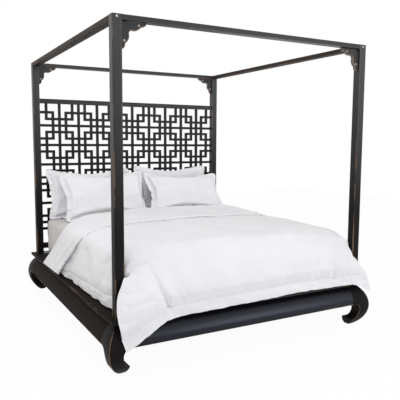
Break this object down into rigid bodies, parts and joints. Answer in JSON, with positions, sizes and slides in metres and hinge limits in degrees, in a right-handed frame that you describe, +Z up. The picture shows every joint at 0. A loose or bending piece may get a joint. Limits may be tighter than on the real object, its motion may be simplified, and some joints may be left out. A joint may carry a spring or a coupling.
{
  "type": "four-poster bed",
  "caption": "Black lacquered four-poster bed with a fretwork headboard, bulging aprons and inward-curling hoof feet, made up with a mattress, duvet and pillows.",
  "frame": {"origin": "on the floor, under the middle of the bounding box", "axes": "+X across the bed to the right of someone who stands at its foot, +Y from the foot to the head, +Z up"},
  "size_m": [2.136, 2.4086, 2.16],
  "materials": {
    "lacquer": "worn satin lacquer",
    "bare_wood": "planed, unfinished",
    "linen": "woven cotton",
    "fitted_sheet": "woven cotton",
    "steel": "bright"
  },
  "bodies": {
    "root": {"apron_front": "lacquer", "apron_left": "lacquer", "apron_rear": "lacquer", "apron_right": "lacquer", "bracket_front_left": "lacquer", "bracket_front_right": "lacquer", "bracket_rear_left": "lacquer", "bracket_rear_right": "lacquer", "canopy_bolt_front_left": "steel", "canopy_bolt_front_right": "steel", "canopy_bolt_rear_left": "steel", "canopy_bolt_rear_right": "steel", "canopy_rail_front": "lacquer", "canopy_rail_left": "lacquer", "canopy_rail_rear": "lacquer", "canopy_rail_right": "lacquer", "centre_beam": "bare_wood", "centre_leg_1": "bare_wood", "centre_leg_2": "bare_wood", "centre_leg_3": "bare_wood", "cross_nut_front_left": "steel", "cross_nut_front_right": "steel", "cross_nut_rear_left": "steel", "cross_nut_rear_right": "steel", "deck_rail_front": "lacquer", "deck_rail_left": "lacquer", "deck_rail_rear": "lacquer", "deck_rail_right": "lacquer", "duvet": "linen", "headboard_lattice": "lacquer", "headboard_low_rail": "lacquer", "headboard_top_rail": "lacquer", "leg_front_left": "lacquer", "leg_front_right": "lacquer", "leg_rear_left": "lacquer", "leg_rear_right": "lacquer", "mattress": "fitted_sheet", "pillow_front_left": "linen", "pillow_front_right": "linen", "pillow_rear_left": "linen", "pillow_rear_right": "linen", "post_front_left": "lacquer", "post_front_right": "lacquer", "post_rear_left": "lacquer", "post_rear_right": "lacquer", "slat_01": "bare_wood", "slat_02": "bare_wood", "slat_03": "bare_wood", "slat_04": "bare_wood", "slat_05": "bare_wood", "slat_06": "bare_wood", "slat_07": "bare_wood", "slat_08": "bare_wood", "slat_09": "bare_wood", "slat_10": "bare_wood", "slat_11": "bare_wood", "slat_ledger_left": "bare_wood", "slat_ledger_right": "bare_wood"}
  },
  "joints": []
}
